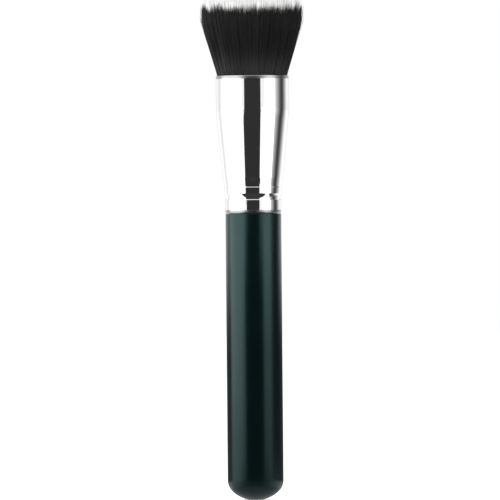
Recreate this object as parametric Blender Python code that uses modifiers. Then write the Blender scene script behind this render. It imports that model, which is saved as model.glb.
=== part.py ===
# Duo fibre makeup brush: a turned wooden handle with a tenon, a chromed ferrule crimped
# onto it, and a flat topped head of short dark fibres with longer white fibres among them.
# Metres, +Z up. The brush stands head up on the small flat at the end of its handle, and
# the middle of that flat is the origin.

import math

import bmesh
import bpy
from mathutils import Matrix

# Handle
HANDLE_LENGTH = 0.095  # end flat to the shoulder under the ferrule
HANDLE_RADIUS = 0.0092  # the ferrule's foot is flush with it
END_DOME_HEIGHT = 0.007
END_FLAT_RADIUS = 0.0025
SHOULDER_ROUND = 0.0004
TENON_CHAMFER = 0.001

# Ferrule: a straight mouth, a long taper and a straight foot
FERRULE_LENGTH = 0.0447
FERRULE_WALL = 0.0004
MOUTH_RADIUS = 0.012
MOUTH_STRAIGHT = 0.012
FOOT_STRAIGHT = 0.005
LIP_ROUND = 0.00025

# Crimp: two grooves rolled through the ferrule's wall into the tenon
CRIMP_HEIGHT = 0.0063  # foot of the ferrule to the middle between the grooves
CRIMP_SPACING = 0.0039
GROOVE_WIDTH = 0.0018
GROOVE_DEPTH = 0.00025

# Glue between tenon and ferrule, and the resin that seals the fibres' roots
GLUE_THICKNESS = 0.0003
GLUE_TOP = 0.012  # above the ferrule's foot
RESIN_THICKNESS = 0.008
TENON_ROOM = 0.0047  # between the tenon's top and the resin

# Roots of the fibres, held in the ferrule by resin and a band of binding
ROOT_DEPTH = 0.012  # ferrule's mouth to the underside of the lower root slice
SLICE_THICKNESS = 0.0015
BINDING_HEIGHT = 0.0048
BINDING_THICKNESS = 0.0003
SLICE_EDGE = 0.0001  # slice beyond its outermost strands

# Free fibres, which swell over the ferrule's lip and then flare
DARK_LENGTH = 0.0215  # above the ferrule's mouth
WHITE_EXTRA_LENGTH = 0.004  # white tips beyond the dark ones
HEAD_RADIUS = 0.0172  # at the tips of the dark fibres
SWELL_HEIGHT = 0.0018  # above the mouth
SWELL_OVER_LIP = 0.0004  # beyond the ferrule's own radius
STRAND_RADIUS = 0.00034  # at the roots; a strand opens with the bundle
STRAND_GAP = 0.0003  # least room between neighbours at the roots
SLOT_CLEARANCE = 0.00025  # round the white strands in the upper slice
SLOT_WEB = 0.0004  # left between a slot of the upper slice and its rim strands

FIT_GAP = 0.0003  # between pieces that touch on the real brush
CUT_OVERRUN = 0.001

TURN_STEPS = 40
DOME_STEPS = 8
GROOVE_STEPS = 4
STRAND_SIDES = 3
ROW_TURN = math.radians(15)  # rows of strands against the X axis
SHARP_ANGLE = math.radians(30)
MERGE_DISTANCE = 0.00001

# Places worked out from the sizes above; heights are above the ferrule's foot
ferrule_foot_z = HANDLE_LENGTH + FIT_GAP
tenon_radius = HANDLE_RADIUS - FERRULE_WALL - GLUE_THICKNESS - 2 * FIT_GAP
taper_top = FERRULE_LENGTH - MOUTH_STRAIGHT
groove_middles = [CRIMP_HEIGHT + side * CRIMP_SPACING / 2 for side in (-1, 1)]
lower_slice_bottom = FERRULE_LENGTH - ROOT_DEPTH
lower_slice_top = lower_slice_bottom + SLICE_THICKNESS
upper_slice_bottom = lower_slice_top + FIT_GAP
resin_top = lower_slice_bottom - FIT_GAP
resin_bottom = resin_top - RESIN_THICKNESS
tenon_top = resin_bottom - TENON_ROOM
strand_pitch = 2 * STRAND_RADIUS + STRAND_GAP

for old_object in list(bpy.data.objects):
    bpy.data.objects.remove(old_object, do_unlink=True)

brush_pieces = bpy.data.collections.new("duo_fibre_brush")
cutters = bpy.data.collections.new("cutters")
for group in (brush_pieces, cutters):
    bpy.context.scene.collection.children.link(group)

brush = bpy.data.objects.new("brush", None)
brush_pieces.objects.link(brush)
ferrule_seat = bpy.data.objects.new("ferrule_seat", None)
ferrule_seat.location.z = ferrule_foot_z
ferrule_seat.parent = brush
brush_pieces.objects.link(ferrule_seat)


def finish(name, color, roughness, metallic=0.0):
    """A plain material for one piece."""
    material = bpy.data.materials.new(name)
    material.use_nodes = True
    shader = material.node_tree.nodes["Principled BSDF"]
    shader.inputs["Base Color"].default_value = (*color, 1.0)
    shader.inputs["Roughness"].default_value = roughness
    shader.inputs["Metallic"].default_value = metallic
    return material


def add_piece(name, mesh, parent, material):
    """Put a mesh into the brush as one named piece."""
    piece = bpy.data.objects.new(name, mesh)
    piece.parent = parent
    brush_pieces.objects.link(piece)
    mesh.materials.append(material)
    return piece


def add_cutter(name, mesh):
    """Put a mesh beside the brush, to be cut from a piece or joined to it."""
    cutter = bpy.data.objects.new(name, mesh)
    cutter.parent = ferrule_seat
    cutter.hide_render = True
    cutter.display_type = "WIRE"
    cutters.objects.link(cutter)
    return cutter


def use_cutter(piece, cutter, operation):
    """Cut or join a cutter with an exact Boolean."""
    modifier = piece.modifiers.new(cutter.name, "BOOLEAN")
    modifier.operation = operation
    modifier.solver = "EXACT"
    modifier.object = cutter


def turned_mesh(name, outline, closed):
    """Turn an outline of (radius, height) points, which runs down its outer side."""
    mesh = bpy.data.meshes.new(name)
    edges = [(index, index + 1) for index in range(len(outline) - 1)]
    if closed:
        edges.append((len(outline) - 1, 0))
    mesh.from_pydata([(radius, 0.0, height) for radius, height in outline], edges, [])
    blank = bpy.data.objects.new(name + "_outline", mesh)
    cutters.objects.link(blank)
    screw = blank.modifiers.new("turn", "SCREW")
    screw.axis = "Z"
    screw.steps = TURN_STEPS
    screw.render_steps = TURN_STEPS
    screw.use_merge_vertices = True
    screw.merge_threshold = MERGE_DISTANCE
    bpy.context.view_layer.update()
    shaped = blank.evaluated_get(bpy.context.evaluated_depsgraph_get())
    turned = bpy.data.meshes.new_from_object(shaped)
    bpy.data.objects.remove(blank, do_unlink=True)
    turned.name = name
    turned.shade_smooth()
    turned.set_sharp_from_angle(angle=SHARP_ANGLE)
    return turned


def crimp_depth(height):
    """How far the rolled grooves press the wall in at a height."""
    depth = 0.0
    for middle in groove_middles:
        across = (height - middle) / GROOVE_WIDTH
        if abs(across) < 0.5:
            depth = GROOVE_DEPTH * (1 + math.cos(math.tau * across)) / 2
    return depth


def ferrule_radius(height):
    """Outer radius of the ferrule at a height, with its crimp."""
    up_taper = (height - FOOT_STRAIGHT) / (taper_top - FOOT_STRAIGHT)
    up_taper = min(max(up_taper, 0.0), 1.0)
    plain_radius = HANDLE_RADIUS + up_taper * (MOUTH_RADIUS - HANDLE_RADIUS)
    return plain_radius - crimp_depth(height)


def bore_radius(height):
    return ferrule_radius(height) - FERRULE_WALL


def profile_heights(bottom, top):
    """Heights from bottom to top at which the ferrule's wall changes direction."""
    heights = {bottom, top, FOOT_STRAIGHT, taper_top}
    for middle in groove_middles:
        for step in range(GROOVE_STEPS + 1):
            heights.add(middle + (step / GROOVE_STEPS - 0.5) * GROOVE_WIDTH)
    return sorted(height for height in heights if bottom <= height <= top)


def make_handle():
    """Domed end, straight grip, rounded shoulder and a tenon with the crimp's grooves."""
    tenon_top_z = ferrule_foot_z + tenon_top
    outline = [
        (0.0, tenon_top_z),
        (tenon_radius - TENON_CHAMFER, tenon_top_z),
        (tenon_radius, tenon_top_z - TENON_CHAMFER),
    ]
    crimp_reach = (CRIMP_SPACING + GROOVE_WIDTH) / 2
    for height in reversed(profile_heights(CRIMP_HEIGHT - crimp_reach, CRIMP_HEIGHT + crimp_reach)):
        outline.append((tenon_radius - crimp_depth(height), ferrule_foot_z + height))
    outline += [
        (tenon_radius, HANDLE_LENGTH),
        (HANDLE_RADIUS - SHOULDER_ROUND, HANDLE_LENGTH),
        (HANDLE_RADIUS, HANDLE_LENGTH - SHOULDER_ROUND),
    ]
    flat_turn = math.acos(END_FLAT_RADIUS / HANDLE_RADIUS)
    for step in range(DOME_STEPS + 1):
        turn = flat_turn * step / DOME_STEPS
        height = END_DOME_HEIGHT * (1 - math.sin(turn) / math.sin(flat_turn))
        outline.append((HANDLE_RADIUS * math.cos(turn), height))
    outline.append((0.0, 0.0))
    lacquer = finish("green_lacquer", (0.0024, 0.0130, 0.0116), 0.22)
    add_piece("handle", turned_mesh("handle", outline, closed=False), brush, lacquer)


def make_ferrule():
    """A thin tube, crimped near its foot, with a rounded lip at its mouth."""
    lip_bottom = FERRULE_LENGTH - LIP_ROUND
    heights = profile_heights(0.0, lip_bottom)
    outline = [(MOUTH_RADIUS - LIP_ROUND, FERRULE_LENGTH)]
    outline += [(ferrule_radius(height), height) for height in reversed(heights)]
    outline += [(bore_radius(height), height) for height in heights[:-1]]
    outline.append((bore_radius(FERRULE_LENGTH), FERRULE_LENGTH))
    chrome = finish("chrome", (0.80, 0.81, 0.82), 0.06, 1.0)
    add_piece("ferrule", turned_mesh("ferrule", outline, closed=True), ferrule_seat, chrome)


def make_glue():
    """A collar of glue, thin round the crimp and thicker where the ferrule widens."""
    heights = profile_heights(FIT_GAP, GLUE_TOP)
    outline = [(bore_radius(height) - FIT_GAP, height) for height in reversed(heights)]
    for height in heights:
        outline.append((tenon_radius - crimp_depth(height) + FIT_GAP, height))
    glue = finish("tenon_glue", (0.60, 0.48, 0.28), 0.4)
    mesh = turned_mesh("tenon_adhesive", outline, closed=True)
    add_piece("tenon_adhesive", mesh, ferrule_seat, glue)


def make_resin():
    """The set resin behind the roots fills the ferrule from wall to wall."""
    outline = [(0.0, resin_top)]
    for height in reversed(profile_heights(resin_bottom, resin_top)):
        outline.append((bore_radius(height) - FIT_GAP, height))
    outline.append((0.0, resin_bottom))
    resin = finish("root_resin", (0.55, 0.38, 0.16), 0.3)
    add_piece("resin_plug", turned_mesh("resin_plug", outline, closed=False), ferrule_seat, resin)


# The roots start where the ferrule may still be narrowing, so its bore there sets them
binding_radius = bore_radius(lower_slice_bottom) - FIT_GAP
slice_radius = binding_radius - BINDING_THICKNESS - FIT_GAP
rim_radius = slice_radius - SLICE_EDGE - STRAND_RADIUS


def make_binding():
    """The band that ties the bundle of fibres round its roots."""
    band_top = lower_slice_bottom + BINDING_HEIGHT
    inner_radius = binding_radius - BINDING_THICKNESS
    outline = [
        (binding_radius, band_top),
        (binding_radius, lower_slice_bottom),
        (inner_radius, lower_slice_bottom),
        (inner_radius, band_top),
    ]
    thread = finish("binding_thread", (0.70, 0.66, 0.58), 0.8)
    mesh = turned_mesh("root_binding", outline, closed=True)
    add_piece("root_binding", mesh, ferrule_seat, thread)


def spread_levels():
    """Heights at which the bundle changes direction, and how far it has opened there."""
    outer_radius = rim_radius + STRAND_RADIUS
    mouth_radius = bore_radius(FERRULE_LENGTH) - FIT_GAP
    return [
        (upper_slice_bottom + SLICE_THICKNESS / 2, 1.0),
        (FERRULE_LENGTH, mouth_radius / outer_radius),
        (FERRULE_LENGTH + SWELL_HEIGHT, (MOUTH_RADIUS + SWELL_OVER_LIP) / outer_radius),
        (FERRULE_LENGTH + DARK_LENGTH, HEAD_RADIUS / outer_radius),
    ]


def spread(height):
    """Width of the bundle at a height, as a multiple of its width at the roots."""
    levels = spread_levels()
    for (low, low_spread), (high, high_spread) in zip(levels, levels[1:]):
        if height <= high:
            break
    along = (height - low) / (high - low)
    return low_spread + along * (high_spread - low_spread)


def strand_rows():
    """Rows of (row, x, y) places that cover the bundle, every other row staggered."""
    places = []
    count = int(rim_radius / strand_pitch) + 1
    for row in range(-count, count + 1):
        stagger = 0.5 if row % 2 else 0.0
        for column in range(-count, count + 1):
            places.append((row, (column + stagger) * strand_pitch, row * strand_pitch))
    return places


def turned_place(x, y):
    """A place in the rows, turned with them about the brush's axis."""
    cos_turn, sin_turn = math.cos(ROW_TURN), math.sin(ROW_TURN)
    return (x * cos_turn - y * sin_turn, x * sin_turn + y * cos_turn)


def dark_places():
    """A ring of strands round the rim, and the even rows inside it."""
    quarter_count = int(math.tau * rim_radius / strand_pitch / 4)
    rim_count = 4 * quarter_count
    places = []
    for index in range(rim_count):
        angle = math.tau * index / rim_count
        places.append((rim_radius * math.cos(angle), rim_radius * math.sin(angle)))
    reach = rim_radius - strand_pitch
    for row, x, y in strand_rows():
        if row % 2 == 0 and math.hypot(x, y) <= reach:
            places.append(turned_place(x, y))
    return places


def white_rows():
    """The odd rows, each as a list of (x, y), where a slot fits inside the rim ring."""
    half_width = STRAND_RADIUS + SLOT_CLEARANCE
    reach = rim_radius - STRAND_RADIUS - SLOT_WEB
    rows = {}
    for row, x, y in strand_rows():
        corner = math.hypot(abs(x) + half_width, abs(y) + half_width)
        if row % 2 == 1 and corner <= reach:
            rows.setdefault(row, []).append((x, y))
    return list(rows.values())


def white_places():
    return [turned_place(x, y) for row in white_rows() for x, y in row]


def add_strand(strands, x, y, bottom, top):
    """One strand from its root to the ferrule's mouth, over the lip and out to its tip."""
    middle_height = (bottom + FERRULE_LENGTH) / 2
    place = Matrix.Translation((x, y, middle_height))
    facing = Matrix.Rotation(math.atan2(y, x) - math.pi / 2, 4, "Z")
    lower = bmesh.ops.create_cone(
        strands,
        cap_ends=True,
        segments=STRAND_SIDES,
        radius1=STRAND_RADIUS,
        radius2=STRAND_RADIUS,
        depth=FERRULE_LENGTH - bottom,
        matrix=place @ facing,
    )["verts"]
    mouth_verts = {vert for vert in lower if vert.co.z > middle_height}
    for vert in lower:
        vert.co.xy *= spread(vert.co.z)
    caps = {face for vert in mouth_verts for face in vert.link_faces}
    cap = next(face for face in caps if set(face.verts) == mouth_verts)
    below = FERRULE_LENGTH
    for height in (FERRULE_LENGTH + SWELL_HEIGHT, top):
        cap = bmesh.ops.extrude_discrete_faces(strands, faces=[cap])["faces"][0]
        for vert in cap.verts:
            vert.co.xy *= spread(height) / spread(below)
            vert.co.z = height
        below = height


def make_strands(name, places, bottom, top):
    strands = bmesh.new()
    for x, y in places:
        add_strand(strands, x, y, bottom, top)
    mesh = bpy.data.meshes.new(name)
    strands.to_mesh(mesh)
    strands.free()
    return add_cutter(name, mesh)


def slice_mesh(name, bottom):
    """A round slice of the glued roots."""
    top = bottom + SLICE_THICKNESS
    outline = [(0.0, top), (slice_radius, top), (slice_radius, bottom), (0.0, bottom)]
    return turned_mesh(name, outline, closed=False)


def make_slots():
    """One slot in the upper slice for each row of white strands."""
    half_width = STRAND_RADIUS + SLOT_CLEARANCE
    depth = SLICE_THICKNESS + 2 * CUT_OVERRUN
    turn = Matrix.Rotation(ROW_TURN, 4, "Z")
    slots = bmesh.new()
    for row in white_rows():
        row_end, y = max(row)
        size = Matrix.Diagonal((2 * (row_end + half_width), 2 * half_width, depth, 1.0))
        middle = Matrix.Translation((0.0, y, upper_slice_bottom + SLICE_THICKNESS / 2))
        bmesh.ops.create_cube(slots, size=1.0, matrix=turn @ middle @ size)
    mesh = bpy.data.meshes.new("white_row_slots")
    slots.to_mesh(mesh)
    slots.free()
    return add_cutter("white_row_slots", mesh)


def make_dark_fibres():
    """The shorter strands, on the upper slice that the white ones pass through."""
    dark = finish("dark_fibre", (0.012, 0.012, 0.012), 0.55)
    fibres = add_piece("dark_fibres", slice_mesh("dark_fibres", upper_slice_bottom), ferrule_seat, dark)
    use_cutter(fibres, make_slots(), "DIFFERENCE")
    inside_slice = upper_slice_bottom + SLICE_THICKNESS / 2
    tip_height = FERRULE_LENGTH + DARK_LENGTH
    strands = make_strands("dark_strands", dark_places(), inside_slice, tip_height)
    use_cutter(fibres, strands, "UNION")


def make_white_fibres():
    """The longer strands, on the lower slice."""
    white = finish("white_fibre", (0.82, 0.82, 0.80), 0.5)
    fibres = add_piece("white_fibres", slice_mesh("white_fibres", lower_slice_bottom), ferrule_seat, white)
    inside_slice = lower_slice_bottom + SLICE_THICKNESS / 2
    tip_height = FERRULE_LENGTH + DARK_LENGTH + WHITE_EXTRA_LENGTH
    strands = make_strands("white_strands", white_places(), inside_slice, tip_height)
    use_cutter(fibres, strands, "UNION")


make_handle()
make_ferrule()
make_glue()
make_resin()
make_binding()
make_dark_fibres()
make_white_fibres()
print("strands:", len(dark_places()), "dark and", len(white_places()), "white")
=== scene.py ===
import math

import bpy
import numpy as np
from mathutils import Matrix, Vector


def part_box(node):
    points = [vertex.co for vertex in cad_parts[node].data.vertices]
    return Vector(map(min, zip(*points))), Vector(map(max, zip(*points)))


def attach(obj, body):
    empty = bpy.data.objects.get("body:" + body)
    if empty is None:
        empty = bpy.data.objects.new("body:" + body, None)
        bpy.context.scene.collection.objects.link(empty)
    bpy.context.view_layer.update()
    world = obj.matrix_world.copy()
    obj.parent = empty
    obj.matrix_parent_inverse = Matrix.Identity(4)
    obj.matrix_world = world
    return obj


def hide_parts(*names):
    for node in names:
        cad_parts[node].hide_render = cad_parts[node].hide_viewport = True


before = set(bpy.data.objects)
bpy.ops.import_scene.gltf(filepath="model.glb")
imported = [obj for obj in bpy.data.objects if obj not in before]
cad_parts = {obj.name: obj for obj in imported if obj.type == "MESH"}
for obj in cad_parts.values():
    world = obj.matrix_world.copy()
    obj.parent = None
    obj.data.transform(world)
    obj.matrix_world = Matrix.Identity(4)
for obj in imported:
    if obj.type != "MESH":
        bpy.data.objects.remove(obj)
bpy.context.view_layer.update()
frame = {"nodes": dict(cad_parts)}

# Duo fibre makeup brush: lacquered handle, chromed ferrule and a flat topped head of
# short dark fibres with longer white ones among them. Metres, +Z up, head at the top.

mm = 0.001
mergeReach = 0.001 * mm  # points nearer than this become one
sharpEdge = 35  # degrees; an edge that turns more than this stays sharp


def deselectAll():
    if bpy.context.object and bpy.context.object.mode != "OBJECT":
        bpy.ops.object.mode_set(mode="OBJECT")
    bpy.ops.object.select_all(action="DESELECT")


# Camera, level with the middle of the brush, as far off as a long studio lens stands
view = {
    "lens": 800,
    "sensor": 36,
    "clip": (0.1, 100),
    "frameHeight": 165 * mm,  # what the picture takes in at the brush
    "height": 82.5 * mm,
    "side": -1.21 * mm,
    "roll": 0.5,  # degrees; the brush leans a little to the left
}


def placeCamera():
    data = bpy.data.cameras.new("camera")
    data.lens = view["lens"]
    data.sensor_width = view["sensor"]
    data.clip_start, data.clip_end = view["clip"]
    camera = bpy.data.objects.new("camera", data)
    distance = view["lens"] / view["sensor"] * view["frameHeight"]
    camera.location = (view["side"], -distance, view["height"])
    camera.rotation_euler = (math.radians(90), math.radians(view["roll"]), 0)
    bpy.context.scene.collection.objects.link(camera)
    bpy.context.scene.camera = camera
    print("camera placed", round(distance, 3), "m away")


class Signal:
    # A value that varies over a surface. Sums and products on it add Math nodes.
    def __init__(self, maker, socket):
        self.maker = maker
        self.socket = socket

    def __add__(self, other):
        return self.maker.math("ADD", self, other)

    def __sub__(self, other):
        return self.maker.math("SUBTRACT", self, other)

    def __rsub__(self, other):
        return self.maker.math("SUBTRACT", other, self)

    def __mul__(self, other):
        return self.maker.math("MULTIPLY", self, other)

    __radd__ = __add__
    __rmul__ = __mul__


class NodeMaker:
    # Adds nodes to one material or to the world
    def __init__(self, tree):
        self.tree = tree

    def node(self, kind, settings=None, inputs=None, output=0):
        made = self.tree.nodes.new(kind)
        for name, value in (settings or {}).items():
            setattr(made, name, value)
        for name, value in (inputs or {}).items():
            self.feed(made.inputs[name], value)
        return Signal(self, made.outputs[output])

    def feed(self, socket, value):
        if isinstance(value, Signal):
            self.tree.links.new(value.socket, socket)
        elif socket.type == "RGBA":
            socket.default_value = (*value, 1)
        else:
            socket.default_value = value

    def math(self, operation, *values):
        return self.node("ShaderNodeMath", {"operation": operation}, dict(enumerate(values)))

    def ease(self, value, low, high, start=0.0, end=1.0):
        # from start to end as the value goes from low to high, smoothly
        inputs = {"Value": value, "From Min": low, "From Max": high, "To Min": start, "To Max": end}
        return self.node("ShaderNodeMapRange", {"interpolation_type": "SMOOTHSTEP"}, inputs)

    def blend(self, share, first, second):
        inputs = {0: share, 6: first, 7: second}
        return self.node("ShaderNodeMix", {"data_type": "RGBA"}, inputs, output=2)

    def grey(self, value):
        # the colour between black and white that a value from 0 to 1 stands for
        return self.blend(value, (0.0, 0.0, 0.0), (1.0, 1.0, 1.0))

    def lightPath(self, ray):
        return self.node("ShaderNodeLightPath", None, None, ray)

    def parts(self, vector):
        split = self.node("ShaderNodeSeparateXYZ", None, {0: vector}).socket.node
        return [Signal(self, split.outputs[axis]) for axis in "XYZ"]

    def place(self):
        return self.node("ShaderNodeTexCoord", None, None, "Object")

    def uv(self):
        # the two coordinates of the piece's own UV map
        return self.parts(self.node("ShaderNodeTexCoord", None, None, "UV"))[:2]

    def stretched(self, vector, scale):
        return self.node("ShaderNodeMapping", None, {"Vector": vector, "Scale": scale})

    def noise(self, vector, scale, detail=2.0, roughness=0.5):
        inputs = {"Vector": vector, "Scale": scale, "Detail": detail, "Roughness": roughness}
        return self.node("ShaderNodeTexNoise", None, inputs)

    def cells(self, vector, scale):
        # how far it is to the middle of the nearest cell
        inputs = {"Vector": vector, "Scale": scale}
        return self.node("ShaderNodeTexVoronoi", None, inputs, "Distance")

    def bump(self, height, strength, distance):
        inputs = {"Strength": strength, "Distance": distance, "Height": height}
        return self.node("ShaderNodeBump", None, inputs)


def newFinish(name, **fixed):
    # a Principled material whose fixed values are set straight on its sockets
    material = bpy.data.materials.new(name)
    material.use_nodes = True
    principled = material.node_tree.nodes["Principled BSDF"]
    for socket, value in fixed.items():
        principled.inputs[socket.replace("_", " ")].default_value = value
    return material, NodeMaker(material.node_tree), principled.inputs


def dimmed(color, share):
    return tuple(share * part for part in color)


def dress(piece, material, slot, *nodes):
    # gives a piece its material and, if it is new, the nodes it stands for; the slot is not used
    piece.data.materials.clear()
    piece.data.materials.append(material)
    if nodes:
        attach(piece, "root")
        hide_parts(*nodes)
    return piece


# The studio: a bright room, softboxes, and dark flags that gloss and metal mirror
room = {
    "ambient": 0.7,  # what lights matt surfaces
    "mirrored": 1.0,  # what gloss and metal see
    "floorSize": 14,
    "floorColor": (0.84, 0.84, 0.83),
    "floorGrain": 40.0,  # the scale of a faint mottle
    "floorMottle": 0.98,  # how dark the mottle is
    "floorLift": 0.5,  # added to the floor where it is seen, so that it reads as white
}

softboxes = {
    "keyBox": {"azimuth": -74, "away": 0.35, "width": 0.54, "low": 0.02, "high": 0.6, "watts": 1.38},
    "fillBox": {"azimuth": 58, "away": 0.35, "width": 0.22, "low": 0.02, "high": 0.6, "watts": 0.45},
    "washBox": {"azimuth": 2, "away": 0.6, "width": 0.6, "low": 0.45, "high": 1.0, "watts": 2.1},
}
matteOnly = ["washBox"]  # lights that gloss and metal don't mirror, aimed at the top of the head

# Upright flags. Each stands across its azimuth, flagAway metres off, from low to high, and its
# foot and its top each reach from one side of that line to the other.
flagAway = 0.4
flags = {
    "frontLow": {
        "azimuth": 0, "low": 0.0, "high": 0.03, "foot": (-0.254, 0.202), "top": (-0.240, 0.202),
    },
    "frontFoot": {
        "azimuth": 0, "low": 0.03, "high": 0.096, "foot": (-0.240, 0.200), "top": (-0.205, 0.198),
    },
    "frontStrip": {  # what the ferrule's straight foot mirrors
        "azimuth": 0, "low": 0.096, "high": 0.103, "foot": (-0.236, 0.210), "top": (-0.236, 0.210),
    },
    "frontFlag": {
        "azimuth": 0, "low": 0.103, "high": 0.25, "foot": (-0.202, 0.196), "top": (-0.190, 0.196),
    },
    "sideFoot": {
        "azimuth": 100, "low": 0.0, "high": 0.1, "foot": (-0.356, 0.340), "top": (-0.276, 0.330),
    },
    "sideFlag": {
        "azimuth": 100, "low": 0.1, "high": 0.6, "foot": (-0.276, 0.330), "top": (-0.262, 0.46),
    },
    "edgeFlag": {
        "azimuth": -129, "low": 0.0, "high": 0.6, "foot": (-0.10, 0.10), "top": (-0.10, 0.10),
    },
    "backFlag": {
        "azimuth": 180, "low": 0.0, "high": 0.6, "foot": (-0.10, 0.10), "top": (-0.10, 0.10),
    },
}

# Flags on the floor, from floorFlagNear to the upright ones: near and far are the sides of
# their two ends
floorFlagNear = 0.02
floorFlagLift = 0.1 * mm
floorFlags = {
    "frontFloor": {"azimuth": 0, "far": (-0.254, 0.225), "near": (-0.014, 0.011)},
    "sideFloor": {"azimuth": 98, "far": (-0.200, 0.190), "near": (-0.010, 0.010)},
    "backFloor": {"azimuth": 180, "far": (-0.10, 0.10), "near": (-0.005, 0.005)},
}

# The cloth of the flags whose names start so: soft is the share of their width over which
# each side thins out
cloths = {
    "front": {"soft": 0.02, "shade": 0.03},
    "side": {"soft": 0.5, "shade": 0.05},
    "back": {"soft": 0.3, "shade": 0.05},
    "edge": {"soft": 0.5, "shade": 0.84},
}

# The near disc lies before the brush. The foot disc lies under it: grey in its middle, and
# round that dark before and behind the brush and lighter beside it.
discSegments = 64
nearDisc = {"azimuth": 3, "away": 0.20, "radius": 0.184, "soft": 0.06, "lift": 0.2 * mm, "shade": 0.04}
# painted shade and light: the foot disc stands for the floor round the foot as gloss and metal see it,
# darker where the brush shades it and lighter beside it, towards the softboxes
footDisc = {"radius": 0.05, "lift": 0.3 * mm, "inner": 10 * mm, "outer": 16 * mm}
footShade = {"middle": 0.48, "before": 0.18, "beside": 0.85}

# A low ring of cloth round the foot of the brush, which darkens the lacquer downwards. It
# covers most before the brush and behind it, and least towards the key light.
lowRing = {
    "segments": 96,
    "radius": 0.06,
    "top": 0.093,
    "full": 0.045,  # above this the side and the back thin out
    "shade": 0.04,
    "frontShares": (-0.84, -0.78),  # of the radius along Y, over which the front's cover ends
    "frontTopShare": 0.7,  # of the top, above which the front thins out
    "backShares": (-0.2, 0.5),  # of the radius along Y, over which the side's becomes the back's
    "keyCosines": (0.80, 0.97),  # of the angle from the key light, over which its cover sets in
}
lowRingCover = {"front": 1.0, "side": 0.50, "back": 0.92, "key": 0.26}


def aroundBrush(azimuth, away, height):
    # a place by its direction from the brush, where 0 is towards the camera and 90 is +X
    turn = math.radians(azimuth)
    return Vector((away * math.sin(turn), -away * math.cos(turn), height))


def makeWorld():
    world = bpy.data.worlds.new("studioRoom")
    world.use_nodes = True
    bpy.context.scene.world = world
    maker = NodeMaker(world.node_tree)
    background = world.node_tree.nodes["Background"]
    background.inputs["Color"].default_value = (1, 1, 1, 1)
    seen = maker.lightPath("Is Camera Ray") + maker.lightPath("Is Transmission Ray")
    mirrored = maker.lightPath("Is Glossy Ray")
    extra = seen * (1 - room["ambient"]) + mirrored * (room["mirrored"] - room["ambient"])
    maker.feed(background.inputs["Strength"], extra + room["ambient"])


def makeFloor():
    deselectAll()
    bpy.ops.mesh.primitive_plane_add(size=room["floorSize"], location=(0, 0, 0))
    floor = bpy.context.object
    floor.name = "floor"
    material, maker, sockets = newFinish("paleFloor", Roughness=0.9, Specular_IOR_Level=0.1)
    pale = room["floorColor"]
    grain = maker.noise(maker.place(), room["floorGrain"])
    maker.feed(sockets["Base Color"], maker.blend(grain, pale, dimmed(pale, room["floorMottle"])))
    seen = maker.lightPath("Is Camera Ray") + maker.lightPath("Is Transmission Ray")
    mirrored = maker.lightPath("Is Glossy Ray")
    maker.feed(sockets["Emission Color"], maker.grey(seen + mirrored))
    sockets["Emission Strength"].default_value = room["floorLift"]
    floor.data.materials.append(material)


def makeSoftbox(name, box):
    data = bpy.data.lights.new(name, "AREA")
    data.shape = "RECTANGLE"
    data.size = box["width"]
    data.size_y = box["high"] - box["low"]
    data.energy = box["watts"]
    lamp = bpy.data.objects.new(name, data)
    middle = (box["high"] + box["low"]) / 2
    lamp.location = aroundBrush(box["azimuth"], box["away"], middle)
    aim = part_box("white_fibres")[1].z if name in matteOnly else middle
    inward = Vector((0, 0, aim)) - lamp.location
    lamp.rotation_euler = inward.to_track_quat("-Z", "Y").to_euler()
    lamp.visible_camera = False
    lamp.visible_glossy = name not in matteOnly
    bpy.context.scene.collection.objects.link(lamp)


def makeCloth(name, shade):
    # flag cloth: clear where its cover is 0, and as dark as its shade where that is 1
    material = bpy.data.materials.new(name)
    material.use_nodes = True
    maker = NodeMaker(material.node_tree)
    material.node_tree.nodes.clear()
    clear = maker.node("ShaderNodeBsdfTransparent")
    dark = maker.node("ShaderNodeEmission", None, {"Color": (shade, shade, shade)})
    mixed = maker.node("ShaderNodeMixShader", None, {0: 1.0, 1: clear, 2: dark})
    ending = material.node_tree.nodes.new("ShaderNodeOutputMaterial")
    maker.feed(ending.inputs["Surface"], mixed)
    sockets = {"cover": mixed.socket.node.inputs[0], "shade": dark.socket.node.inputs["Color"]}
    return material, maker, sockets


def hangFlag(flag, material):
    # only gloss and metal see a flag
    flag.data.materials.append(material)
    flag.visible_camera = False
    flag.visible_diffuse = False
    flag.visible_shadow = False
    flag.visible_transmission = False


def hangCard(name, middle, turn, foot, top, height):
    # a flat card, clear towards its two sides
    deselectAll()
    bpy.ops.mesh.primitive_plane_add(size=1, location=middle, rotation=turn)
    flag = bpy.context.object
    flag.name = name
    for corner in flag.data.vertices:
        sides = foot if corner.co.y < 0 else top
        corner.co.x = sides[0] if corner.co.x < 0 else sides[1]
        corner.co.y *= height
    bpy.ops.object.transform_apply(location=True, rotation=True, scale=True)
    cloth = next(cloths[start] for start in cloths if name.startswith(start))
    material, maker, sockets = makeCloth(name + "Cloth", cloth["shade"])
    across = maker.uv()[0]
    fromSide = maker.math("MINIMUM", across, 1 - across)
    maker.feed(sockets["cover"], maker.ease(fromSide, 0.0, cloth["soft"]))
    hangFlag(flag, material)


def makeFlag(name, card):
    height = card["high"] - card["low"]
    middle = aroundBrush(card["azimuth"], flagAway, card["low"] + height / 2)
    turn = (math.radians(90), 0, math.radians(card["azimuth"]))
    hangCard(name, middle, turn, card["foot"], card["top"], height)


def makeFloorFlag(name, card):
    depth = flagAway - floorFlagNear
    middle = aroundBrush(card["azimuth"], floorFlagNear + depth / 2, floorFlagLift)
    turn = (0, 0, math.radians(card["azimuth"]))
    hangCard(name, middle, turn, card["far"], card["near"], depth)


def addDisc(name, radius, middle):
    deselectAll()
    bpy.ops.mesh.primitive_circle_add(
        vertices=discSegments, radius=radius, fill_type="NGON", location=middle
    )
    disc = bpy.context.object
    disc.name = name
    bpy.ops.object.transform_apply(location=True, rotation=True, scale=True)
    return disc


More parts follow.
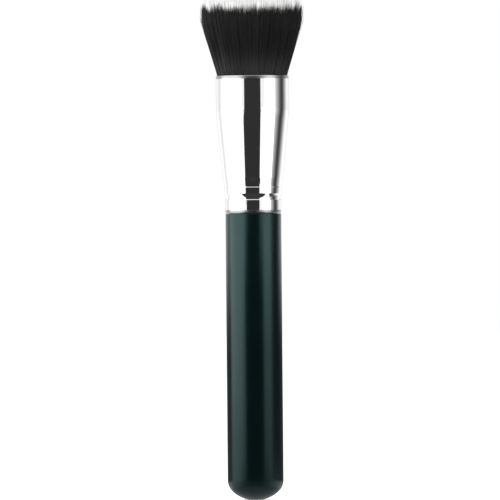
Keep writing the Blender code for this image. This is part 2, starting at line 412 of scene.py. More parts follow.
def makeNearDisc():
    middle = aroundBrush(nearDisc["azimuth"], nearDisc["away"], nearDisc["lift"])
    disc = addDisc("nearDisc", nearDisc["radius"], middle)
    material, maker, sockets = makeCloth("nearDiscCloth", nearDisc["shade"])
    x, y = maker.parts(maker.place())[:2]
    across = x - middle.x
    along = y - middle.y
    fromMiddle = maker.math("SQRT", across * across + along * along)
    edge = nearDisc["radius"]
    cover = maker.ease(fromMiddle, (1 - nearDisc["soft"]) * edge, edge, 1.0, 0.0)
    maker.feed(sockets["cover"], cover)
    hangFlag(disc, material)


def makeFootDisc():
    disc = addDisc("footDisc", footDisc["radius"], (0, 0, footDisc["lift"]))
    material, maker, sockets = makeCloth("footDiscPaintedShade", 0.0)
    x, y = maker.parts(maker.place())[:2]
    away = x * x + y * y
    beside = maker.math("DIVIDE", x * x, away)
    around = maker.ease(beside, 0.0, 1.0, footShade["before"], footShade["beside"])
    outward = maker.ease(maker.math("SQRT", away), footDisc["inner"], footDisc["outer"])
    shade = footShade["middle"] * (1 - outward) + around * outward
    maker.feed(sockets["shade"], maker.grey(shade))
    hangFlag(disc, material)


def makeLowRing():
    radius, top = lowRing["radius"], lowRing["top"]
    deselectAll()
    bpy.ops.mesh.primitive_cylinder_add(
        vertices=lowRing["segments"], radius=radius, depth=top,
        end_fill_type="NOTHING", location=(0, 0, top / 2),
    )
    ring = bpy.context.object
    ring.name = "lowRing"
    bpy.ops.object.transform_apply(location=True, rotation=True, scale=True)
    material, maker, sockets = makeCloth("lowRingCloth", lowRing["shade"])
    x, y, height = maker.parts(maker.place())
    frontEdge = [share * radius for share in lowRing["frontShares"]]
    backEdge = [share * radius for share in lowRing["backShares"]]
    front = maker.ease(y, *frontEdge, lowRingCover["front"], 0.0)
    front = front * maker.ease(height, lowRing["frontTopShare"] * top, top, 1.0, 0.0)
    side = maker.ease(y, *backEdge, lowRingCover["side"], lowRingCover["back"])
    side = side * maker.ease(height, lowRing["full"], top, 1.0, 0.0)
    keyward = aroundBrush(softboxes["keyBox"]["azimuth"], 1 / radius, 0)
    toKey = maker.ease(x * keyward.x + y * keyward.y, *lowRing["keyCosines"])
    key = maker.ease(height, 0.0, top, lowRingCover["key"], 0.0)
    side = side * (1 - toKey) + key * toKey
    maker.feed(sockets["cover"], maker.math("MAXIMUM", front, side))
    hangFlag(ring, material)


def makeStudio():
    makeWorld()
    makeFloor()
    for name, box in softboxes.items():
        makeSoftbox(name, box)
    for name, card in flags.items():
        makeFlag(name, card)
    for name, card in floorFlags.items():
        makeFloorFlag(name, card)
    makeNearDisc()
    makeFootDisc()
    makeLowRing()
    hung = len(flags) + len(floorFlags)
    print("studio set:", len(softboxes), "softboxes,", hung, "flags, two discs and a low ring")


def turnUp(name, rings, segments):
    # a solid turned ring by ring: a filled circle, extruded and scaled up its profile
    deselectAll()
    radius, height = rings[0]
    bpy.ops.mesh.primitive_circle_add(
        vertices=segments, radius=radius, fill_type="NGON", location=(0, 0, height)
    )
    turned = bpy.context.object
    turned.name = name
    bpy.ops.object.mode_set(mode="EDIT")
    bpy.ops.mesh.select_all(action="SELECT")
    for nextRadius, nextHeight in rings[1:]:
        climb = (0, 0, nextHeight - height)
        bpy.ops.mesh.extrude_region_move(TRANSFORM_OT_translate={"value": climb})
        share = nextRadius / radius
        bpy.ops.transform.resize(value=(share, share, 1), center_override=(0, 0, nextHeight))
        radius, height = nextRadius, nextHeight
    return turned


def settle(piece, sharpest=sharpEdge):
    # normals outward, place and scale in the mesh, smooth but for its sharp edges
    bpy.ops.mesh.select_all(action="SELECT")
    bpy.ops.mesh.remove_doubles(threshold=mergeReach)
    bpy.ops.mesh.normals_make_consistent(inside=False)
    bpy.ops.object.mode_set(mode="OBJECT")
    bpy.ops.object.transform_apply(location=True, rotation=True, scale=True)
    bpy.ops.object.shade_smooth_by_angle(angle=math.radians(sharpest))
    return piece


def arc(steps, start, end):
    # turns in radians from start to end, given in degrees
    return [math.radians(start + (end - start) * step / steps) for step in range(steps + 1)]


# The crimp: two grooves rolled into the ferrule's wall and the handle's tenon inside it, each
# with a long slope above its deepest line and a short one below. Heights are above the foot.
crimp = [
    {"deepest": 3.9 * mm, "below": 0.23 * mm, "above": 1.95 * mm, "depth": 0.31 * mm, "power": 1.4},
    {"deepest": 8.1 * mm, "below": 0.38 * mm, "above": 2.8 * mm, "depth": 0.09 * mm, "power": 1.8},
]
crimpSteps = {"below": 8, "above": 20}
crimpEdge = 0.04 * mm  # a plain ring this far past each groove keeps its edges crisp


def crimpDepth(overFoot):
    depth = 0.0
    for groove in crimp:
        if groove["deepest"] <= overFoot < groove["deepest"] + groove["above"]:
            up = (overFoot - groove["deepest"]) / groove["above"]
            depth += groove["depth"] * (1 - up ** groove["power"])
        elif groove["deepest"] - groove["below"] < overFoot < groove["deepest"]:
            down = (groove["deepest"] - overFoot) / groove["below"]
            depth += groove["depth"] * (1 + math.cos(math.pi * down)) / 2
    return depth


def crimpHeights():
    below, above = crimpSteps["below"], crimpSteps["above"]
    heights = []
    for groove in crimp:
        bottom = groove["deepest"] - groove["below"]
        heights.append(bottom - crimpEdge)
        heights += [bottom + groove["below"] * step / below for step in range(below)]
        heights += [groove["deepest"] + groove["above"] * step / above for step in range(above + 1)]
        heights.append(groove["deepest"] + groove["above"] + crimpEdge)
    return heights


# Handle: domed end, straight grip, rounded shoulder and a bare wooden tenon
handle = {
    "segments": 160,
    "endFlat": 2.2 * mm,  # radius of the flat that the dome ends in
    "domeHeight": 6.9 * mm,
    "domeSteps": 30,
    "domePowers": (1.5, 2.4),  # of a superellipse, across and up
    "gripRings": 12,
    "shoulderRound": 0.2 * mm,
    "shoulderSteps": 6,
    "shoulder": 94.5 * mm,
    "tenonRadius": 7.9 * mm,
    "tenonChamfer": 1 * mm,
}

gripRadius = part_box("handle")[1].x
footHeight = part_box("ferrule")[0].z


def handleRings():
    across, up = handle["domePowers"]
    flatTurn = math.degrees(math.acos((handle["endFlat"] / gripRadius) ** (across / 2)))
    lowest = math.sin(math.radians(flatTurn)) ** (2 / up)
    rings = []
    for turn in arc(handle["domeSteps"], flatTurn, 0):
        height = handle["domeHeight"] * (1 - math.sin(turn) ** (2 / up) / lowest)
        rings.append((gripRadius * math.cos(turn) ** (2 / across), height))
    roundStart = handle["shoulder"] - handle["shoulderRound"]
    climb = (roundStart - handle["domeHeight"]) / handle["gripRings"]
    for step in range(1, handle["gripRings"]):
        rings.append((gripRadius, handle["domeHeight"] + step * climb))
    for turn in arc(handle["shoulderSteps"], 0, 90):
        out = gripRadius - handle["shoulderRound"] * (1 - math.cos(turn))
        rings.append((out, roundStart + handle["shoulderRound"] * math.sin(turn)))
    rings.append((handle["tenonRadius"], handle["shoulder"]))
    for overFoot in crimpHeights():
        rings.append((handle["tenonRadius"] - crimpDepth(overFoot), footHeight + overFoot))
    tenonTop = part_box("handle")[1].z
    rings.append((handle["tenonRadius"], tenonTop - handle["tenonChamfer"]))
    rings.append((handle["tenonRadius"] - handle["tenonChamfer"], tenonTop))
    return rings


# In this and the other finishes, a noise is given by its scale, detail and roughness, a bump
# by its strength and depth, and edges are the values between which one look turns to another
lacquer = {
    "deep": (0.0002, 0.0036, 0.0034),
    "light": (0.0003, 0.0046, 0.0043),
    "clouds": (60.0, 3.0),
    "cloudEdges": (0.35, 0.65),
    "tint": (0.6, 1.0, 1.0, 1.0),
    "roughness": (0.22, 0.26),
    "handlingStretch": (300, 300, 120),  # faint marks of use, which vary the gloss
    "handling": (1.0, 4.0, 0.65),
    "handlingEdges": (0.3, 0.75),
    "peel": (700.0, 1.0),  # the slight waviness of a sprayed coat
    "bump": (0.12, 0.05 * mm),
    "wood": (0.52, 0.36, 0.20),
    "woodVein": (0.34, 0.21, 0.10),
    "grainStretch": (900, 900, 60),
    "grain": (1.0, 4.0, 0.6),
    "grainEdges": (0.35, 0.7),
    "bareRough": 0.45,  # how much rougher the bare tenon is
    "bareOut": 0.2 * mm,  # past the tenon's radius
    "bareUp": 0.5 * mm,  # above the ferrule's foot
}


def lacquerMaterial():
    material, maker, sockets = newFinish("greenLacquer", IOR=1.5, Specular_Tint=lacquer["tint"])
    place = maker.place()
    clouds = maker.ease(maker.noise(place, *lacquer["clouds"]), *lacquer["cloudEdges"])
    paint = maker.blend(clouds, lacquer["deep"], lacquer["light"])
    grain = maker.noise(maker.stretched(place, lacquer["grainStretch"]), *lacquer["grain"])
    veins = maker.ease(grain, *lacquer["grainEdges"])
    wood = maker.blend(veins, lacquer["wood"], lacquer["woodVein"])
    x, y, height = maker.parts(place)
    fromAxis = maker.math("SQRT", x * x + y * y)
    tenon = maker.math("LESS_THAN", fromAxis, handle["tenonRadius"] + lacquer["bareOut"])
    bare = tenon * maker.math("GREATER_THAN", height, footHeight + lacquer["bareUp"])
    maker.feed(sockets["Base Color"], maker.blend(bare, paint, wood))
    handling = maker.noise(maker.stretched(place, lacquer["handlingStretch"]), *lacquer["handling"])
    gloss = maker.ease(handling, *lacquer["handlingEdges"], *lacquer["roughness"])
    maker.feed(sockets["Roughness"], gloss + bare * lacquer["bareRough"])
    peel = maker.noise(place, *lacquer["peel"])
    relief = peel * (1 - bare) + grain * bare
    maker.feed(sockets["Normal"], maker.bump(relief, *lacquer["bump"]))
    return material


def makeHandle():
    piece = settle(turnUp("handleTurned", handleRings(), handle["segments"]))
    dress(piece, lacquerMaterial(), "green_lacquer", "handle")
    print("handle:", len(piece.data.polygons), "faces")


# Ferrule: straight mouth, long taper, straight foot, all in one thin drawn tube
ferrule = {
    "segments": 192,
    "wall": 0.4 * mm,
    "wallSharp": 60,  # degrees; the rims of the wall turn more than this
    "mouthStraight": 12 * mm,
    "footStraight": 5 * mm,
    "footReach": 0.7 * mm,  # closes the seam over the handle's shoulder
    "lipRound": 0.12 * mm,
    "lipSegments": 4,
    "lipHeight": 0.6 * mm,  # the mouth is drawn in a little over this height
    "lipInset": 0.10 * mm,
    "footHeight": 0.9 * mm,  # and so is the foot
    "footInset": 0.25 * mm,
    "insetShare": 0.9,  # how full a quarter round each of the two drawn in edges makes
    "insetSteps": 8,
    "taperSteps": 28,
    "bendLength": 3 * mm,  # over which the taper eases into each straight
    "bendSteps": 4,
}

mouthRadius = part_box("ferrule")[1].x
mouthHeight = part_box("ferrule")[1].z


def ferruleRadius(overFoot):
    length = mouthHeight - footHeight
    taperTop = length - ferrule["mouthStraight"]
    share = (overFoot - ferrule["footStraight"]) / (taperTop - ferrule["footStraight"])
    share = min(max(share, 0.0), 1.0)
    return gripRadius + share * (mouthRadius - gripRadius)


def drawnIn(overStart, height, inset):
    # how far an edge is drawn in, where its rounding starts at 0 and ends at its height
    share = min(max(overStart / height, 0.0), 1.0)
    return inset * (1 - math.sqrt(1 - ferrule["insetShare"] * share**2))


def easedRadius(overFoot):
    # the plain radius averaged over the bend, so that the two corners of the taper are soft
    reach, steps = ferrule["bendLength"] / 2, ferrule["bendSteps"]
    samples = [ferruleRadius(overFoot + reach * step / steps) for step in range(-steps, steps + 1)]
    lipBottom = mouthHeight - footHeight - ferrule["lipHeight"]
    footTop = ferrule["footHeight"] - ferrule["footReach"]
    inset = drawnIn(overFoot - lipBottom, ferrule["lipHeight"], ferrule["lipInset"])
    inset += drawnIn(footTop - overFoot, ferrule["footHeight"], ferrule["footInset"])
    return sum(samples) / len(samples) - crimpDepth(overFoot) - inset


def ferruleHeights():
    edge, taper = ferrule["insetSteps"], ferrule["taperSteps"]
    lipBottom = mouthHeight - footHeight - ferrule["lipHeight"]
    crimpTop = max(crimpHeights())
    heights = [ferrule["footHeight"] * step / edge - ferrule["footReach"] for step in range(edge + 1)]
    heights += crimpHeights()
    heights += [crimpTop + (lipBottom - crimpTop) * step / taper for step in range(1, taper)]
    heights += [lipBottom + ferrule["lipHeight"] * step / edge for step in range(edge + 1)]
    return heights


def makeFerruleWall():
    rings = [(easedRadius(overFoot), footHeight + overFoot) for overFoot in ferruleHeights()]
    tube = turnUp("ferruleDrawn", rings, ferrule["segments"])
    bpy.ops.mesh.delete(type="ONLY_FACE")  # the top cap, still selected
    bpy.ops.object.mode_set(mode="OBJECT")
    for face in tube.data.polygons:
        face.select = len(face.vertices) > 4  # the bottom cap
    bpy.ops.object.mode_set(mode="EDIT")
    bpy.ops.mesh.select_mode(type="FACE")
    bpy.ops.mesh.delete(type="ONLY_FACE")
    bpy.ops.mesh.select_mode(type="VERT")
    settle(tube, ferrule["wallSharp"])
    wall = tube.modifiers.new("wall", "SOLIDIFY")
    wall.thickness = ferrule["wall"]
    wall.offset = -1
    wall.use_even_offset = True
    bpy.ops.object.modifier_apply(modifier="wall")
    lip = tube.modifiers.new("lip", "BEVEL")
    lip.width = ferrule["lipRound"]
    lip.segments = ferrule["lipSegments"]
    lip.limit_method = "ANGLE"
    lip.angle_limit = math.radians(ferrule["wallSharp"])
    bpy.ops.object.modifier_apply(modifier="lip")
    bpy.ops.object.mode_set(mode="EDIT")
    return settle(tube)


chrome = {
    "color": (0.93, 0.935, 0.94),
    "clouds": (90.0, 3.0),
    "cloudShare": 0.96,  # how dark the clouds in the plating are
    "roughness": (0.035, 0.09),
    "polishStretch": (400, 400, 4000),
    "polish": (1.0, 3.0, 0.6),
    "polishEdges": (0.3, 0.8),
    "bump": (0.02, 0.02 * mm),
    "edgePaintedShade": 0.36,  # painted shade: the plating's colour is darkened to this share on the two drawn in edges
    "edgeRough": 0.22,
    "lipDullAndShade": 0.95 * mm,
    "footDullAndShade": 1.0 * mm,
    "edgeFade": 0.2 * mm,
}


def chromeMaterial():
    material, maker, sockets = newFinish("polishedChrome", Metallic=1.0, IOR=1.5)
    place = maker.place()
    shade = chrome["color"]
    clouds = maker.noise(place, *chrome["clouds"])
    plating = maker.blend(clouds, shade, dimmed(shade, chrome["cloudShare"]))
    height = maker.parts(place)[2]
    lipStart = mouthHeight - chrome["lipDullAndShade"]
    footStart = footHeight - ferrule["footReach"] + chrome["footDullAndShade"]
    # painted shade: the plating is darkened in colour at the mouth, under the hair, and at the foot,
    # above the seam with the handle; it is rougher there too
    lip = maker.ease(height, lipStart - chrome["edgeFade"], lipStart)
    foot = maker.ease(height, footStart, footStart + chrome["edgeFade"], 1.0, 0.0)
    edge = lip + foot
    shadedPlating = dimmed(shade, chrome["edgePaintedShade"])
    maker.feed(sockets["Base Color"], maker.blend(edge, plating, shadedPlating))
    polish = maker.noise(maker.stretched(place, chrome["polishStretch"]), *chrome["polish"])
    smooth = maker.ease(polish, *chrome["polishEdges"], *chrome["roughness"])
    maker.feed(sockets["Roughness"], smooth + edge * chrome["edgeRough"])
    maker.feed(sockets["Normal"], maker.bump(polish, *chrome["bump"]))
    return material


def makeFerrule():
    piece = makeFerruleWall()
    dress(piece, chromeMaterial(), "chrome", "ferrule")
    print("ferrule:", len(piece.data.polygons), "faces")


# The head. Strands stand in a sunflower pattern, and a share of them crowds the rim.
head = {
    "seed": 11,
    "rootHeight": 128.4 * mm,
    "rootRadius": 10.5 * mm,
    "neckRadius": 11.3 * mm,
    "swell": 1.0 * mm,  # above the mouth, where the bundle passes over the lip
    "swellOver": -0.05 * mm,
    "tipRadius": 16.7 * mm,
    "darkTop": 161.5 * mm,
    "flareShare": 0.2,  # how much the flare runs ahead of a straight line, before it turns up
    "flarePower": 9,
    "turnJitter": 0.02,  # how unevenly the inner strands stand, in radians
    "shareJitter": 0.004,  # and as a share of the radius
    "rimJitter": 0.1,  # and how unevenly the depths and levels follow in the rim
    "rimLeastShare": 0.01,  # keeps depths in the rim above 0, which stands for inside it
    "depthTurn": 0.56984,  # how far on the next strand in the rim stands, of all depths
    "levelTurn": 0.75488,  # and of all tip levels
    "dropPower": 10,  # of the share of the radius, so that the tips drop near the rim only
    "tuckLow": 159.4 * mm,  # over these heights the long strands come out among the short ones
    "tuckHigh": 164.0 * mm,
    "tuckPower": 8,  # of the share of the radius, so that the middle stays where it is
    "looseMost": 0.9 * mm,  # how far a loose strand's tip may stand off
    "bendPower": 1.5,  # how late along its free length a strand bends away
    "ripples": 5,  # each bends neighbouring strands alike
    "wavesAcross": (3, 9),  # how many waves of a ripple cross the head
    "usual": 0.5,  # how much of the splay a usual strand takes each way
    "farthest": 0.8,  # and the wildest
    "rimSideways": 0.15,  # and what is left of it sideways in the rim
    "thicknessShares": (0.85, 1.15),
}

darkFibres = {
    "pieces": 3,
    "inner": 6300,
    "rim": 7200,
    "rimShare": (0.940, 0.985),  # where the rim begins and ends, of the bundle's radius
    "rimThinning": 3.0,  # how much sparser the rim is on its outside
    "rimDrop": 0.5 * mm,  # how much lower the tips stand towards the rim
    "rimFall": 0.8 * mm,  # and how much lower again outwards through the rim
    "tuck": 0.0,  # how much further in the outer strands stand below the tips
    "loose": 220,  # strands that stand off the rim at their tips
    "looseReach": 0.4 * mm,
    "reach": 0.935,  # how far out the inner strands stand, of the bundle's radius
    "radius": 0.054 * mm,
    "innerWidth": 1.42,  # how much thicker the inner strands are
    "tip": (159.8 * mm, 165.2 * mm),  # lowest and highest, before rimDrop and rimFall
    "levels": [0.0, 0.3, 0.42, 0.62, 0.82, 0.95, 1.0],
    "thickness": [1.0, 1.0, 1.0, 1.0, 0.95, 0.6, 0.12],
    "splay": 0.35 * mm,
    "drift": 0.28 * mm,
}

whiteFibres = {
    "pieces": 3,
    "inner": 9500,
    "rim": 6500,
    "rimShare": (0.932, 0.968),
    "rimThinning": 1.5,
    "rimDrop": 0.1 * mm,
    "rimFall": 0.0,
    "tuck": 0.07,
    "loose": 0,
    "looseReach": 0.0,
    "reach": 0.935,
    "radius": 0.075 * mm,
    "innerWidth": 2.0,
    "tip": (164.6 * mm, 165.45 * mm),
    "levels": [0.0, 0.3, 0.6, 0.84, 0.93, 1.0],
    "thickness": [0.5, 0.5, 0.55, 0.65, 1.0, 0.45],
    "splay": 0.3 * mm,
    "drift": 0.28 * mm,
}


def bundleRadius(heights):
    # outer radius of the bundle of fibres at some heights
    swellTop = mouthHeight + head["swell"]
    overLip = mouthRadius + head["swellOver"]
    levels = [head["rootHeight"], mouthHeight, swellTop]
    radii = [head["rootRadius"], head["neckRadius"], overLip]
    share = np.clip((heights - swellTop) / (head["darkTop"] - swellTop), 0, 1)
    ahead = head["flareShare"]
    widening = (1 + ahead) * share - ahead * share ** head["flarePower"]
    flare = overLip + (head["tipRadius"] - overLip) * widening
    return np.where(heights > swellTop, flare, np.interp(heights, levels, radii))


def modelStrand(name, levels, thickness):
    # one strand, three sided, a unit long and a unit in radius
    deselectAll()
    bpy.ops.mesh.primitive_circle_add(vertices=3, radius=1, fill_type="NGON", location=(0, 0, 0))
    strand = bpy.context.object
    strand.name = name
    bpy.ops.object.mode_set(mode="EDIT")
    bpy.ops.mesh.select_all(action="SELECT")
    for below, above, lower, upper in zip(levels, levels[1:], thickness, thickness[1:]):
        climb = (0, 0, above - below)
        bpy.ops.mesh.extrude_region_move(TRANSFORM_OT_translate={"value": climb})
        share = upper / lower
        bpy.ops.transform.resize(value=(share, share, 1), center_override=(0, 0, above))
    bpy.ops.mesh.select_all(action="SELECT")
    bpy.ops.mesh.quads_convert_to_tris()
    bpy.ops.mesh.normals_make_consistent(inside=False)
    bpy.ops.object.mode_set(mode="OBJECT")
    points = np.array([vert.co for vert in strand.data.vertices])
    corners = np.array([face.vertices for face in strand.data.polygons])
    bpy.data.objects.remove(strand, do_unlink=True)
    return points, corners


def strandPlaces(fibres, random):
    # of each strand: share of the bundle's radius, direction, depth in the rim up to 1, which
    # is 0 inside it, level of its tip from 0 to 1, and how far its tip stands off the bundle
    inner = np.arange(fibres["inner"])
    share = fibres["reach"] * np.sqrt((inner + 0.5) / fibres["inner"])
    uneven = random.normal(0, head["turnJitter"], len(inner))
    direction = inner * math.pi * (3 - math.sqrt(5)) + uneven
    share = np.clip(share + random.normal(0, head["shareJitter"], len(inner)), 0, fibres["reach"])
    rim = np.arange(fibres["rim"])
    rimDirection = (rim + random.uniform(0, 1, len(rim))) * math.tau / fibres["rim"]
    # neighbours in the rim take turns through all depths and levels, so no clump stands out
    jitter = random.uniform(0, head["rimJitter"], (2, len(rim)))
    rimDepth = (rim * head["depthTurn"] + jitter[0]) % 1 * (1 - head["rimLeastShare"])
    rimDepth = (rimDepth + head["rimLeastShare"]) ** fibres["rimThinning"]
    rimLevel = (rim * head["levelTurn"] + jitter[1]) % 1
    loose = fibres["loose"]
    looseDirection = random.uniform(0, math.tau, loose)
    low, high = fibres["rimShare"]
    depth = np.concatenate([np.zeros(len(inner)), rimDepth, np.ones(loose)])
    share = np.concatenate([share, low + (high - low) * rimDepth, np.full(loose, high)])
    direction = np.concatenate([direction, rimDirection, looseDirection])
    level = random.uniform(0, 1, len(share))
    rimEnd = len(inner) + len(rim)
    level[len(inner):rimEnd] = rimLevel
    off = np.zeros(len(share))
    off[rimEnd:] = random.exponential(fibres["looseReach"], loose)
    return share, direction, depth, level, np.clip(off, 0, head["looseMost"])


def bendStrands(points, fibres, random):
    # every strand's own copy of the modelled one, bent along its way out of the ferrule
    share, direction, depth, level, off = strandPlaces(fibres, random)
    count = len(share)
    outward = np.stack([np.cos(direction), np.sin(direction)], axis=1)
    sideward = np.stack([-outward[:, 1], outward[:, 0]], axis=1)
    lowest, highest = fibres["tip"]
    tip = lowest + (highest - lowest) * level - fibres["rimDrop"] * share ** head["dropPower"]
    tip = tip - fibres["rimFall"] * depth**2
    along = points[None, :, 2]
    heights = head["rootHeight"] + along * (tip[:, None] - head["rootHeight"])
    free = np.clip((heights - mouthHeight) / (head["darkTop"] - mouthHeight), 0, None)
    bend = free ** head["bendPower"]
    tucked = (head["tuckHigh"] - heights) / (head["tuckHigh"] - head["tuckLow"])
    tucked = fibres["tuck"] * np.clip(tucked, 0, 1) * share[:, None] ** head["tuckPower"]
    radial = (share[:, None] - tucked) * bundleRadius(heights) + off[:, None] * bend
    centre = radial[:, :, None] * outward[:, None, :]
    # neighbours drift together, and each strand strays a little by itself
    spots = outward * share[:, None] * head["tipRadius"]
    for ripple in range(head["ripples"]):
        turn = random.uniform(0, math.tau)
        pitch = random.uniform(*head["wavesAcross"]) * math.tau / head["tipRadius"] / 2
        phase = random.uniform(0, math.tau)
        wave = np.sin(pitch * (spots @ [math.cos(turn), math.sin(turn)]) + phase)
        push = fibres["drift"] / head["ripples"] * wave[:, None] * bend
        centre[:, :, 0] -= push * math.sin(turn)
        centre[:, :, 1] += push * math.cos(turn)
    inRim = depth > 0
    stray = random.normal(0, head["usual"], (count, 2))
    stray = np.clip(stray, -head["farthest"], head["farthest"])
    stray[:, 1] *= np.where(inRim, head["rimSideways"], 1.0)
    stray = stray[:, :1] * outward + stray[:, 1:] * sideward
    centre += stray[:, None, :] * fibres["splay"] * free[:, :, None] ** 2
    spin = random.uniform(0, math.tau, count)[:, None]
    width = np.where(inRim, 1.0, fibres["innerWidth"])
    thick = (fibres["radius"] * width * random.uniform(*head["thicknessShares"], count))[:, None]
    sideways = thick * (points[None, :, 0] * np.cos(spin) - points[None, :, 1] * np.sin(spin))
    forwards = thick * (points[None, :, 0] * np.sin(spin) + points[None, :, 1] * np.cos(spin))
    x = centre[:, :, 0] + sideways
    y = centre[:, :, 1] + forwards
    return np.stack([x, y, heights], axis=2)


columnMargin = 0.2  # what a strand leaves free of its column in the UV map, on each side


def strandMesh(name, strands, points, corners):
    # one mesh for many strands, each with its own narrow column of the UV map, root to tip
    count, size = strands.shape[:2]
    faces = (corners[None, :, :] + size * np.arange(count)[:, None, None]).reshape(-1, 3)
    mesh = bpy.data.meshes.new(name)
    mesh.from_pydata(strands.reshape(-1, 3), [], faces)
    within = columnMargin + (1 - 2 * columnMargin) * (points[None, :, 0] + 1) / 2
    column = (np.arange(count)[:, None] + within) / count
    rise = np.repeat(points[None, :, 2], count, axis=0)
    uvs = np.stack([column, rise], axis=2).reshape(-1, 2)[faces.reshape(-1)]
    layer = mesh.uv_layers.new(name="strand")
    layer.data.foreach_set("uv", uvs.reshape(-1).astype(np.float32))
    mesh.shade_smooth()
    return mesh


def makeFibres(name, fibres, seed, material, slot, node):
    random = np.random.default_rng(seed)
    points, corners = modelStrand(name + "One", fibres["levels"], fibres["thickness"])
    strands = bendStrands(points, fibres, random)
    strands = strands[random.permutation(len(strands))]
    for index, bunch in enumerate(np.array_split(strands, fibres["pieces"])):
        mesh = strandMesh(f"{name}{index + 1}", bunch, points, corners)
        piece = bpy.data.objects.new(mesh.name, mesh)
        bpy.context.scene.collection.objects.link(piece)
        dress(piece, material, slot, node)
    print(name + ":", len(strands), "strands,", len(strands) * len(corners), "triangles")


# Colours at the ferrule, halfway up and at the tips; deep is how dark some strands are
darkLook = {
    # painted light: the dark strands are three times lighter at the ferrule than halfway up, as the
    # key light on the lower head would make them
    "colors": [(0.036, 0.036, 0.0355), (0.012, 0.012, 0.012), (0.018, 0.018, 0.0185)],
    "deep": 0.72,
    "roughness": (0.42, 0.62),
    "specular": 0.25,
}
whiteLook = {
    "colors": [(0.93, 0.93, 0.92), (0.95, 0.95, 0.94), (0.975, 0.975, 0.97)],
    "deep": 0.97,
    "roughness": (0.4, 0.55),
    "specular": 0.4,
}
strandLook = {
    "tones": 350.0,  # the scale of a noise across the columns, which tells strands apart
    "deepEdges": (0.35, 0.7),
    "glossEdges": (0.3, 0.7),
    "bodyEdges": (0.38, 0.62),  # shares of a strand's length
    "tipEdges": (0.7, 1.0),
}


def fibreMaterial(name, look):
    material, maker, sockets = newFinish(name, Specular_IOR_Level=look["specular"])
    column, rise = maker.uv()
    scale = {"W": column, "Scale": strandLook["tones"]}
    tone = maker.node("ShaderNodeTexNoise", {"noise_dimensions": "1D"}, scale)
    root, body, tip = look["colors"]
    deep = maker.ease(tone, *strandLook["deepEdges"])
    along = maker.blend(deep, body, dimmed(body, look["deep"]))
    along = maker.blend(maker.ease(rise, *strandLook["bodyEdges"]), root, along)
    along = maker.blend(maker.ease(rise, *strandLook["tipEdges"]), along, tip)
    maker.feed(sockets["Base Color"], along)
    gloss = maker.ease(tone, *strandLook["glossEdges"], *look["roughness"])
    maker.feed(sockets["Roughness"], gloss)
    return material


def makeHead():
    dark = fibreMaterial("blackFibre", darkLook)
    white = fibreMaterial("whiteFibre", whiteLook)
    makeFibres("darkFibres", darkFibres, head["seed"], dark, "dark_fibre", "dark_fibres")
    makeFibres("whiteFibres", whiteFibres, head["seed"] + 1, white, "white_fibre", "white_fibres")


# What the ferrule hides: the glued roots, the band round them, the resin and the glue
roots = {
    "segments": 96,
    "round": 0.15 * mm,
    "overDark": 1.5 * mm,  # how far the block reaches above the lowest of the dark fibres
    "overBundle": 0.2 * mm,  # and how far out past the bundle's radius
    "color": (0.30, 0.24, 0.15),
    "ends": (0.05, 0.05, 0.05),
    "endScale": 5200.0,
    "endEdges": (0.25, 0.5),
    "glossEdges": (0.2, 0.6),
    "roughness": (0.55, 0.3),
    "bump": (0.3, 0.05 * mm),
}


def makeRootBlock():
    # the fibres' ends, set hard in resin
    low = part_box("white_fibres")[0].z
    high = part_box("dark_fibres")[0].z + roots["overDark"]
    radius = head["rootRadius"] + roots["overBundle"]
    edge = roots["round"]
    rings = [(radius - edge, low), (radius, low + edge), (radius, high - edge), (radius - edge, high)]
    piece = settle(turnUp("gluedRoots", rings, roots["segments"]))
    material, maker, sockets = newFinish("gluedRootEnds", Specular_IOR_Level=0.5)
    ends = maker.cells(maker.place(), roots["endScale"])
    shade = maker.blend(maker.ease(ends, *roots["endEdges"]), roots["ends"], roots["color"])
    maker.feed(sockets["Base Color"], shade)
    gloss = maker.ease(ends, *roots["glossEdges"], *roots["roughness"])
    maker.feed(sockets["Roughness"], gloss)
    maker.feed(sockets["Normal"], maker.bump(ends, *roots["bump"]))
    dress(piece, material, "root_resin", "dark_fibres")
    print("glued roots:", len(piece.data.polygons), "faces")


resin = {"light": (0.58, 0.40, 0.16), "dark": (0.42, 0.26, 0.09), "coat": 0.8}
glue = {"light": (0.66, 0.54, 0.32), "dark": (0.50, 0.38, 0.20), "coat": 0.3}
setLook = {
    "clouds": (350.0, 4.0, 0.6),
    "cloudEdges": (0.35, 0.7),
    "bubbles": 1400.0,
    "bubbleEdges": (0.05, 0.25),
    "glossEdges": (0.1, 0.5),
    "roughness": (0.45, 0.25),
    "bump": (0.3, 0.08 * mm),
}


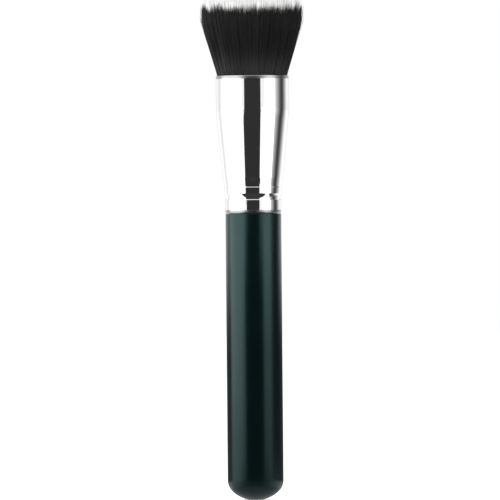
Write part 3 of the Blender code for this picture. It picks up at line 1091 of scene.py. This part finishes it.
def setMaterial(name, look):
    # resin or glue that has set: cloudy, with fine bubbles
    material, maker, sockets = newFinish(name, Coat_Roughness=0.15, IOR=1.52)
    place = maker.place()
    clouds = maker.ease(maker.noise(place, *setLook["clouds"]), *setLook["cloudEdges"])
    maker.feed(sockets["Base Color"], maker.blend(clouds, look["light"], look["dark"]))
    bubbles = maker.cells(place, setLook["bubbles"])
    gloss = maker.ease(bubbles, *setLook["glossEdges"], *setLook["roughness"])
    maker.feed(sockets["Roughness"], gloss)
    pitted = maker.ease(bubbles, *setLook["bubbleEdges"])
    maker.feed(sockets["Coat Weight"], pitted * look["coat"])
    maker.feed(sockets["Normal"], maker.bump(pitted, *setLook["bump"]))
    return material


thread = {
    "light": (0.74, 0.70, 0.61),
    "dark": (0.46, 0.42, 0.35),
    "pitch": 0.25 * mm,  # from one turn of the thread to the next
    "fuzzStretch": (2500, 2500, 9000),
    "fuzz": (1.0, 4.0, 0.7),
    "fuzzShare": 0.5,
    "ridgeEdges": (-0.3, 0.6),
    "glossEdges": (0.3, 0.7),
    "roughness": (0.7, 0.9),
    "bump": (0.6, 0.08 * mm),
}


def threadMaterial():
    material, maker, sockets = newFinish("bindingThread", Sheen_Weight=0.3, Specular_IOR_Level=0.3)
    place = maker.place()
    height = maker.parts(place)[2]
    # painted shade: the thread is darker between its turns, where the grooves are shaded; the fuzz
    # also varies its tone
    turns = maker.math("SINE", height * (math.tau / thread["pitch"]))
    fuzz = maker.noise(maker.stretched(place, thread["fuzzStretch"]), *thread["fuzz"])
    ridge = turns * (1 - thread["fuzzShare"]) + fuzz * thread["fuzzShare"]
    raised = maker.ease(ridge, *thread["ridgeEdges"])
    maker.feed(sockets["Base Color"], maker.blend(raised, thread["dark"], thread["light"]))
    gloss = maker.ease(fuzz, *thread["glossEdges"], *thread["roughness"])
    maker.feed(sockets["Roughness"], gloss)
    maker.feed(sockets["Normal"], maker.bump(ridge, *thread["bump"]))
    return material


def dressInner():
    nodes = frame["nodes"]
    dress(nodes["resin_plug"], setMaterial("rootResin", resin), "root_resin")
    dress(nodes["tenon_adhesive"], setMaterial("tenonGlue", glue), "tenon_glue")
    dress(nodes["root_binding"], threadMaterial(), "binding_thread")
    print("inner pieces dressed")


bpy.context.scene.view_settings.view_transform = "Standard"
placeCamera()
makeStudio()
makeHandle()
makeFerrule()
makeHead()
makeRootBlock()
dressInner()
